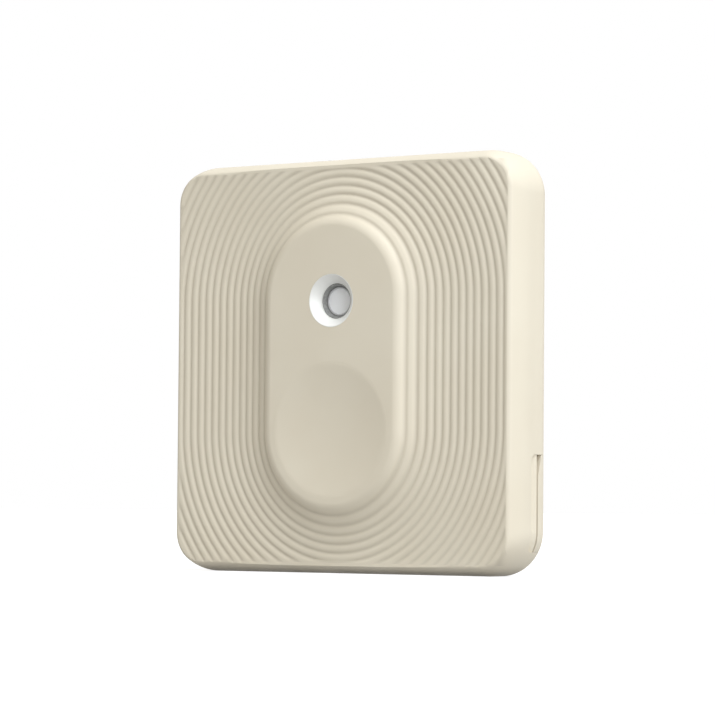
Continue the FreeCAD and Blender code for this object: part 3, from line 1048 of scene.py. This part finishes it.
dress(face_shell, "housing", "shell", ribbed_plastic_with_painted_shade, "front_shell")

# %% [markdown]
# The press pad
# Under the vent the face gives a little where a finger presses it. The pad fills its hole without
# a visible line. Its top is a shallow dish: the slope grows evenly from the middle, and over a last
# narrow ring it eases into the level face. Behind the face a flange keeps the pad in and a boss
# reaches for the switch. The pad is round, so one outline spun about its axis makes all of it.

# %% Press pad
dish_slope = 0.123
dish_edge = 5.5 * mm
dish_steps = 40
pad_flange_radius = pill_cavity_radius - 0.05 * mm
pad_flange_front = pill_cavity_front - 0.015 * mm
pad_flange_back = pad_flange_front - 0.28 * mm
pad_boss_radius = 1.0 * mm
pad_boss_back = -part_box("press_pad")[1].y
pad_edge = pad_radius - visual_gap


def dish_hollow(radius):
    """How far the dish lies below the level face."""
    if radius > dish_edge:
        return dish_slope * (pad_edge - radius) ** 2 / (2 * (pad_edge - dish_edge))
    return dish_slope * (pad_edge / 2 - radius ** 2 / (2 * dish_edge))


dish = [(pad_edge * share, plateau_depth - dish_hollow(pad_edge * share))
        for share in shares(dish_steps)]
pad_outline = dish[:-1] + stairs(dish[-1], (pad_flange_radius, pad_flange_front),
                                 (pad_boss_radius, pad_flange_back), (0, pad_boss_back))
press_dish = turned_piece("press_dish", pad_outline, z=pad_z, steps=160)
dress(press_dish, "press_pad", "shell", cream_plastic, "press_pad")

# %% [markdown]
# The vent
# Air reaches the sensor through a white funnel in the upper part of the pill. Its mouth flares like
# a small trumpet and ends in a rounded lip. The outline is a closed ring, so the spin gives the
# funnel its inside and its outside at once.

# %% Funnel
throat_radius = 1.53 * mm
funnel_depth = 0.83 * mm
lip_width = 0.06 * mm
funnel_steps = 12
funnel_flange_radius = 3.6 * mm
funnel_flange_back = pill_cavity_front - 0.43 * mm
funnel_tube_radius = throat_radius + 0.6 * mm
funnel_back = -bezel_high.y
funnel_round = 0.03 * mm


def funnel_radius(share):
    """Radius of the mouth, half a cone and half a trumpet, from the throat to the lip."""
    flare = (share + 1 - math.cos(share * math.pi / 2)) / 2
    return throat_radius + (vent_radius - lip_width - throat_radius) * flare


mouth = [(funnel_radius(share), plateau_depth - funnel_depth * (1 - share))
         for share in shares(funnel_steps)]
foot = (throat_radius, funnel_back)
funnel_outline = [foot] + mouth + stairs((vent_radius, plateau_depth),
                                         (funnel_flange_radius, pill_cavity_front),
                                         (funnel_tube_radius, funnel_flange_back), foot)
vent_funnel = turned_piece("vent_funnel", funnel_outline, z=vent_z)
soften(vent_funnel, funnel_round)
dress(vent_funnel, "housing", "bezel", white_plastic, "sensor_bezel")

# %% [markdown]
# The sensor cap and its membrane
# Deep in the throat stands the grey cap of the sensor, a small round can with a window in its top.
# The membrane closes the window: a fibrous film, slightly domed, that lets air through and keeps
# water and dust out. Both lie a hair deeper than in the model, as they do in the picture. They
# could be cut from rods, but an outline that is spun gives thin walls in one step.

# %% Cap
cap_finish = moulded_plastic("grey_cap_plastic", (206, 206, 208), (198, 198, 200),
                             roughness=0.4, grain=0.08 * mm, grain_depth=0.001 * mm)

cap_radius = 1.25 * mm
cap_wall = 0.15 * mm
cap_drop = 0.13 * mm
cap_soft_edge = 0.04 * mm
window_radius = 0.8 * mm
cap_front = -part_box("sensor_cap")[0].y - cap_drop
membrane_front, membrane_back = (-corner.y - cap_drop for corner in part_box("sensor_membrane"))
cap_room = cap_radius - cap_wall
foot = (cap_radius, board_front)
cap_outline = stairs(foot, (cap_room, cap_front), (window_radius, membrane_back),
                     (cap_room, membrane_back - cap_wall), foot)
sensor_can = turned_piece("sensor_can", cap_outline, z=vent_z, steps=64)
soften(sensor_can, cap_soft_edge)
dress(sensor_can, "housing", "sensor_cap", cap_finish, "sensor_cap")

# %% Membrane
fibre_size = 0.09 * mm
fibre_depth = 0.006 * mm
film_steps = 8

membrane_finish = new_finish("membrane_film", roughness=0.75, gloss=0.3)
fibres = noise_of(place_on(membrane_finish), fibre_size, detail=6.0)
set_shader(membrane_finish, Normal=relief(fibres, fibre_depth),
           Base_Color=blend_tones(fibres, (248, 249, 251), (252, 253, 255)))
film_edge = cap_room - visual_gap
film_sag = (membrane_front - membrane_back) / 4
film_outline = [(film_edge * share, membrane_front - film_sag * share ** 2)
                for share in shares(film_steps)]
film_outline += [(film_edge, membrane_back), (0, membrane_back)]
membrane_film = turned_piece("membrane_film", film_outline, z=vent_z, steps=64)
dress(membrane_film, "housing", "membrane", membrane_finish, "sensor_membrane")

# %% [markdown]
# The foam ring
# A soft ring between funnel and board keeps the warmth and the damp of the board away from the
# sensor. Its foot is squeezed a little, so its outer wall bulges. A thin collar lines the throat,
# and its soft front edge is what shows as a grey ring round the cap. It is spun as well, and its
# edges get the roundest bevel, because foam has no sharp ones.

# %% Foam ring
gasket_bulge = 0.06 * mm
gasket_steps = 8
gasket_foot = 0.4 * mm
gasket_inner = 1.42 * mm
gasket_round = 0.05 * mm
seal_radius = cap_radius + 0.02 * mm
seal_drop = 0.08 * mm
gasket_low, gasket_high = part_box("sensor_gasket")
gasket_outer = gasket_high.x
gasket_front = -gasket_low.y
collar_radius = throat_radius - visual_gap

foot_wall = [(gasket_outer + gasket_bulge * math.sin(math.pi * share),
              board_front + gasket_foot * share) for share in shares(gasket_steps)]
gasket_outline = (foot_wall
                  + stairs((collar_radius, board_front + gasket_foot),
                           (gasket_inner, gasket_front))
                  + stairs((seal_radius, cap_front - seal_drop), foot_wall[0]))
vent_gasket = turned_piece("vent_gasket", gasket_outline, z=vent_z, steps=64)
soften(vent_gasket, gasket_round, segments=4)
dress(vent_gasket, "housing", "foam", grey_foam, "sensor_gasket")

# %% [markdown]
# The cover
# A snap-on cover closes the back. Its plate carries on the soft back edge of the housing. A thin
# skirt guides it, four hooks hold it, and a tab fills the pry recess, so that a nail can lift it.
# A small wedge is missing from the upper end of the tab. The cover is put together from slabs that
# are cut by the outline of the housing, so that it nowhere stands out of the closed shape.

# %% Plate and skirt of the cover
skirt_wall = 0.9 * mm
skirt_side = cavity_side - 2 * skirt_gap
skirt_corner = cavity_corner - skirt_gap
skirt_front = cover_thickness + skirt_height

rear_cover = housing_block("rear_cover", rim_depth)
combine(rear_cover, "INTERSECT",
        block("plate_room", -side, side, -mm, cover_thickness, -side, side))
combine(rear_cover, "UNION", slab_ring("skirt", skirt_side, skirt_corner, skirt_wall,
                                       cover_thickness / 2, skirt_front))
tell(rear_cover)

# %% Hooks and tab of the cover
hook_height = 0.6 * mm
hook_bite = 0.1 * mm
hook_chamfer = 0.2 * mm
wedge_length = 1.7 * mm
wedge_depth = 0.5 * mm


def hook(axis, sign):
    """A hook on the skirt. Its leading edge is chamfered, so that it slips into the housing."""
    tip = skirt_side / 2 + hook_reach
    piece = side_block("hook", axis, sign, skirt_side / 2 - hook_bite, tip,
                       skirt_front - hook_height, skirt_front, hook_width / 2)
    leading = Vector((0, -skirt_front, 0))
    leading["xyz".index(axis)] = sign * tip
    across = 2 if axis == "x" else 0
    bevel(piece, lambda edge: all((v.co - leading).length - abs(v.co[across]) < mm * fine_share
                                  for v in edge.verts), hook_chamfer, segments=1)
    return piece


combine(rear_cover, "UNION", *four_sides(hook))
tab = side_band("tab", tab_wall, cover_thickness / 2, tab_front)
combine(tab, "INTERSECT", tab_window(0, rim_depth), housing_block("envelope", rim_depth))
wedge = block("wedge", 0, side, tab_front - wedge_depth, tab_front + mm, tab_high - wedge_length,
              tab_high + tab_gap)
move_points(wedge, lambda vertex: (vertex.co.y > -tab_front
                                   and vertex.co.z < tab_high - wedge_length / 2),
            (0, -wedge_depth, 0))
combine(tab, "DIFFERENCE", wedge)
combine(rear_cover, "UNION", tab)
dress(rear_cover, "back_cover", "shell", cream_plastic, "back_cover")

# %% [markdown]
# The foam pad on the cover
# A thin square of foam is glued inside the cover and keeps the cell quiet. A slab with small rounds
# is enough for it: it is cut from flat sheet and shows only when the cover is off.

# %% Foam pad
foam_corner = 0.8 * mm
foam_round = 0.02 * mm
foam_low, foam_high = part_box("cell_foam_pad")
cell_foam = rounded_slab("cell_foam", foam_high.x - foam_low.x, foam_corner, -foam_high.y,
                         -foam_low.y, segments=6)
soften(cell_foam, foam_round)
dress(cell_foam, "back_cover", "foam", grey_foam, "cell_foam_pad")

# %% [markdown]
# The coin cell
# A coin cell is a steel can that is rolled in over a dark seal, with a smaller steel lid inside the
# roll. All three are turned pieces, so each needs only its outline.

# %% Coin cell
can_low, can_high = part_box("cell_can")
lid_low, lid_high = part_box("cell_cap")
cell_radius, cell_back, can_front = can_high.x, -can_high.y, -can_low.y
lid_radius, lid_front = lid_high.x, -lid_low.y
can_edge = 0.35 * mm
can_roll = 0.45 * mm
seal_width = 0.3 * mm
seal_back = can_front - 0.35 * mm
lid_edge = 0.25 * mm
lid_step_radius = 7.4 * mm
lid_step = 0.02 * mm
hairline = 0.01 * mm

roll_end = lid_radius + seal_width
can_outline = ([(0, cell_back)]
               + arc(cell_radius - can_edge, cell_back + can_edge, can_edge, -90, 0)
               + arc(cell_radius - can_roll, can_front - can_roll, can_roll, 0, 90)
               + stairs((roll_end, can_front - 4 * hairline), (0, seal_back)))
cell_shell = turned_piece("cell_shell", can_outline, steps=128)
dress(cell_shell, "coin_cell", "cell_steel", cell_steel, "cell_can")

seal_front = can_front - 3 * hairline
seal_outline = [(lid_radius + hairline, seal_back), (lid_radius + hairline, seal_front),
                (lid_radius + seal_width / 2, seal_front + 2 * hairline),
                (roll_end - hairline, seal_front), (roll_end - hairline, seal_back)]
cell_seal = turned_piece("cell_seal", seal_outline + seal_outline[:1], steps=128)
dress(cell_seal, "coin_cell", "cell_steel", black_plastic)

lid_outline = ([(0, seal_back), (lid_radius, seal_back)]
               + arc(lid_radius - lid_edge, lid_front - lid_edge, lid_edge, 0, 90)
               + [(lid_step_radius, lid_front),
                  (lid_step_radius - 2 * lid_step, lid_front - lid_step),
                  (lid_step_radius - 4 * lid_step, lid_front), (0, lid_front)])
cell_lid = turned_piece("cell_lid", lid_outline, steps=128)
dress(cell_lid, "coin_cell", "cell_steel", cell_steel, "cell_cap")

# %% [markdown]
# The frame round the cell
# A dark moulded frame centres the cell. It is a square with a round room, an ear on each pin and
# a window for each contact, all cut first, and then every sharp edge is broken by a small round.

# %% Cell frame
frame_half = cell_radius + 1.2 * mm
frame_room = cell_radius + 0.2 * mm
frame_back = cell_back + 0.25 * mm
frame_window_half = 3.0 * mm
frame_window_back = board_back - 2.6 * mm
frame_round = 0.1 * mm
ear_half = 1.7 * mm
pin_hole = pin_radius + 0.05 * mm

cell_frame = rounded_slab("cell_frame", 2 * frame_half, mm, frame_back, board_back, segments=8)
for x, z in pin_places:
    combine(cell_frame, "UNION", block("ear", x - ear_half, x + ear_half, head_front, board_back,
                                       z - ear_half, z + ear_half))
    combine(cell_frame, "DIFFERENCE", rod("pin_hole", pin_hole, 0, board_back + mm, x, z, sides=32))
combine(cell_frame, "DIFFERENCE", rod("room", frame_room, 0, board_back + mm, sides=128),
        block("windows", -side / 2, side / 2, frame_window_back, board_back + mm,
              -frame_window_half, frame_window_half))
soften(cell_frame, frame_round)
dress(cell_frame, "housing", "cradle", black_plastic, "battery_cradle")

# %% [markdown]
# The contacts
# The can is the plus pole, and two sprung leaves press on its side. Each is a strip of sheet, bent
# up from a foot on the board, and flares out at its tip so that the cell slides in. The lid is the
# minus pole and meets a flat sheet with two tongues. A leaf is drawn as a line, extruded to its
# width and made solid last, so that the bent sheet is equally thick all along.

# %% Contact leaves
leaf_sheet = 0.1 * mm
leaf_width = 4.6 * mm
leaf_bend = 0.15 * mm
leaf_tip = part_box("positive_contact")[1]
leaf_back = -leaf_tip.y
leaf_middle = cell_radius + 0.06 * mm + leaf_sheet / 2
foot_middle = board_back - leaf_sheet / 2

right_leaf = ([(leaf_tip.x, foot_middle)]
              + arc(leaf_middle + leaf_bend, foot_middle - leaf_bend, leaf_bend, 90, 180)
              + [(leaf_middle, leaf_back + 3 * leaf_sheet),
                 (leaf_middle + leaf_sheet / 2, leaf_back + 1.5 * leaf_sheet),
                 (leaf_middle + 1.5 * leaf_sheet, leaf_back + leaf_sheet / 2)])
left_leaf = [(-x, depth) for x, depth in right_leaf]
spring_leaves = join_pieces([bent_strip("spring_leaves", right_leaf, leaf_width, leaf_sheet),
                             bent_strip("left_leaf", left_leaf, leaf_width, leaf_sheet)])
dress(spring_leaves, "housing", "spring_metal", spring_metal, "positive_contact")

# %% Contact sheet with tongues
sheet_length = 9.0 * mm
sheet_width = 4.0 * mm
sheet_round = 0.015 * mm
tongue_half = 0.75 * mm
tongue_root = 1.0 * mm
tongue_tip = 3.6 * mm
tongue_slot = 0.12 * mm
sheet_back = board_back - leaf_sheet
tongue_back = -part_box("negative_contact")[1].y

ground_sheet = block("ground_sheet", -sheet_length / 2, sheet_length / 2, sheet_back, board_back,
                     -sheet_width / 2, sheet_width / 2)
for sign in (1, -1):
    combine(ground_sheet, "DIFFERENCE",
            side_block("slot", "x", sign, tongue_root, tongue_tip + tongue_slot, sheet_back - mm,
                       board_back + mm, tongue_half + tongue_slot))
    tongue = side_block("tongue", "x", sign, tongue_root - tongue_slot, tongue_tip, sheet_back,
                        board_back - leaf_sheet / 2, tongue_half)
    move_points(tongue, lambda vertex: abs(vertex.co.x) > (tongue_root + tongue_tip) / 2,
                (0, sheet_back - tongue_back, 0))
    combine(ground_sheet, "UNION", tongue)
soften(ground_sheet, sheet_round, segments=1)
dress(ground_sheet, "housing", "spring_metal", spring_metal, "negative_contact")

# %% [markdown]
# The parts on the board
# The chips are small blocks with broken edges. What makes them read as parts is their ends: the
# capacitors and the antenna wear caps of tin, and the radio has a row of pads along each side.

# %% Radio and its pads
chip_round = 0.05 * mm
pads_per_side = 7
pad_pitch = 0.5 * mm
pad_width = 0.25 * mm
pad_reach = 0.15 * mm
pad_height = 0.06 * mm
mark_radius = 0.22 * mm
mark_depth = 0.04 * mm

low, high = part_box("radio_chip")
radio = block("radio", low.x, high.x, -high.y, -low.y, low.z, high.z)
soften(radio, chip_round)
mark_place = high.x - 3 * mark_radius
combine(radio, "DIFFERENCE", rod("mark", mark_radius, -low.y - mark_depth, -low.y + mm,
                                 -mark_place, mark_place, sides=24))
dress(radio, "housing", "chip", black_plastic, "radio_chip")

pads = []
across = (-high.x - pad_reach, high.x + pad_reach)
for step in range(pads_per_side):
    middle = (step - (pads_per_side - 1) / 2) * pad_pitch
    along = (middle - pad_width / 2, middle + pad_width / 2)
    for x_range, z_range in ((across, along), (along, across)):
        pads.append(block("radio_pads", *x_range, board_front, board_front + pad_height, *z_range))
radio_pads = join_pieces(pads)
dress(radio_pads, "housing", "metal", tin, flat=True)

# %% Capacitors
cap_end = 0.25 * mm
cap_shrink = 0.02 * mm
cap_end_round = 0.04 * mm
capacitor_half = 0.25 * mm
capacitor_pitch = 1.5 * mm
capacitor_offset = 3.2 * mm
capacitor_front = -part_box("capacitors")[0].y


def ceramic_with_ends(name, x_low, x_high, front, z_low, z_high, end):
    """A ceramic body and its two tin ends, as two lists with one and two blocks."""
    body = block(f"{name}_body", x_low + end / 2, x_high - end / 2, board_front,
                 front - cap_shrink, z_low + cap_shrink, z_high - cap_shrink)
    ends = [block(f"{name}_ends", low, low + end, board_front, front, z_low, z_high)
            for low in (x_low, x_high - end)]
    return [body], ends


bodies, ends = [], []
for x in (capacitor_offset, capacitor_offset + capacitor_pitch):
    for z in (-capacitor_pitch, 0, capacitor_pitch):
        body, pair = ceramic_with_ends("capacitor", x - 2 * capacitor_half,
                                       x + 2 * capacitor_half, capacitor_front,
                                       z - capacitor_half, z + capacitor_half, cap_end)
        bodies += body
        ends += pair
capacitor_bodies = join_pieces(bodies)
capacitor_ends = join_pieces(ends)
soften(capacitor_ends, cap_end_round)
dress(capacitor_bodies, "housing", "ceramic", brown_ceramic, "capacitors", flat=True)
dress(capacitor_ends, "housing", "metal", tin)

# %% Antenna
low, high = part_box("chip_antenna")
(antenna_body,), pair = ceramic_with_ends("antenna", low.x, high.x, -low.y, low.z, high.z,
                                          2 * cap_end)
antenna_ends = join_pieces(pair)
for piece in (antenna_body, antenna_ends):
    soften(piece, chip_round)
dress(antenna_body, "housing", "ceramic", white_ceramic, "chip_antenna")
dress(antenna_ends, "housing", "metal", tin)

# %% [markdown]
# The nodes that stay
# What remains is small, plain or hidden, and its shape is good as it is. It only gets a finish.

# %% Finishes of the nodes that stay
node_finishes = {
    "circuit_board": board_finish,
    "humidity_sensor": black_plastic,
    "crystal": tin,
    "status_led": led_lens,
    "switch_base": black_plastic,
    "switch_dome": spring_metal,
    "switch_cover": tin,
    "switch_plunger": white_plastic,
}
for node, finish in node_finishes.items():
    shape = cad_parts[node].data
    shape.materials.clear()
    shape.materials.append(finish)
    print(node, "->", finish.name)
